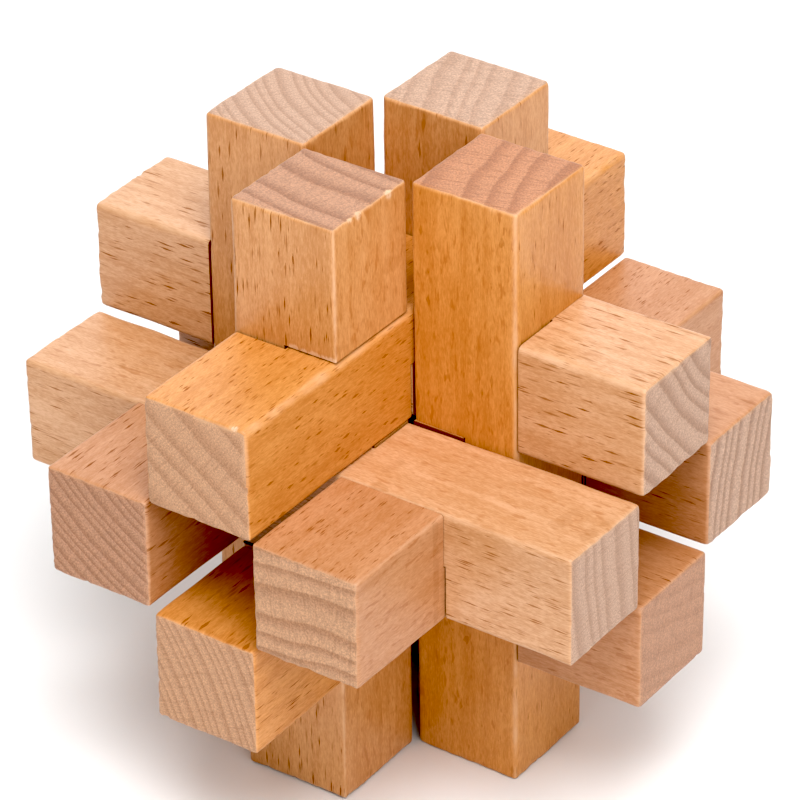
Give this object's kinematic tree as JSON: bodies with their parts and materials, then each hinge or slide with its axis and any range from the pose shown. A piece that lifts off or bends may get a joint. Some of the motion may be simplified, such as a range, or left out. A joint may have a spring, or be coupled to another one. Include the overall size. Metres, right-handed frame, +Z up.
{
  "type": "notched burr puzzle",
  "caption": "Wooden burr puzzle of identical notched square sticks locked in half-lap joints; the upper half lifts straight up to unlock it.",
  "frame": {"origin": "middle of the flat square that the burr stands on, at the level of the four upright sticks' lower ends", "axes": "+Z up along the upright sticks, X left to right along the crosswise sticks, Y front to back along the lengthwise sticks"},
  "size_m": [0.08, 0.08, 0.08],
  "materials": {
    "beech_pale": "plain sanded beech, pale pinkish tan, dull sheen",
    "beech_tan": "plain sanded beech, mid tan, dull sheen",
    "beech_warm": "plain sanded beech, warm orange tan, dull sheen"
  },
  "bodies": {
    "lower_half": {"upright_left": "beech_tan", "upright_right": "beech_warm", "crosswise_top": "beech_pale", "crosswise_bottom": "beech_tan", "lengthwise_left": "beech_pale", "lengthwise_right": "beech_warm"},
    "lifted_lengthwise_top": {"lengthwise_top": "beech_warm"},
    "lifted_lengthwise_bottom": {"lengthwise_bottom": "beech_tan"},
    "lifted_upright_front": {"upright_front": "beech_tan"},
    "lifted_upright_back": {"upright_back": "beech_warm"},
    "lifted_crosswise_front": {"crosswise_front": "beech_pale"},
    "lifted_crosswise_back": {"crosswise_back": "beech_warm"}
  },
  "joints": [
    {"name": "lift_lengthwise_top", "type": "slide", "parent": "lower_half", "child": "lifted_lengthwise_top", "axis": [0, 0, 1], "range_m": [0, 0.0153]},
    {"name": "lift_lengthwise_bottom", "type": "slide", "parent": "lower_half", "child": "lifted_lengthwise_bottom", "axis": [0, 0, 1], "range_m": [0, 0.0153]},
    {"name": "lift_upright_front", "type": "slide", "parent": "lower_half", "child": "lifted_upright_front", "axis": [0, 0, 1], "range_m": [0, 0.0153]},
    {"name": "lift_upright_back", "type": "slide", "parent": "lower_half", "child": "lifted_upright_back", "axis": [0, 0, 1], "range_m": [0, 0.0153]},
    {"name": "lift_crosswise_front", "type": "slide", "parent": "lower_half", "child": "lifted_crosswise_front", "axis": [0, 0, 1], "range_m": [0, 0.0153]},
    {"name": "lift_crosswise_back", "type": "slide", "parent": "lower_half", "child": "lifted_crosswise_back", "axis": [0, 0, 1], "range_m": [0, 0.0153]}
  ],
  "couplings": [
    {"joint": "lift_lengthwise_bottom", "follows": "lift_lengthwise_top", "ratio": 1},
    {"joint": "lift_upright_front", "follows": "lift_lengthwise_top", "ratio": 1},
    {"joint": "lift_upright_back", "follows": "lift_lengthwise_top", "ratio": 1},
    {"joint": "lift_crosswise_front", "follows": "lift_lengthwise_top", "ratio": 1},
    {"joint": "lift_crosswise_back", "follows": "lift_lengthwise_top", "ratio": 1}
  ]
}
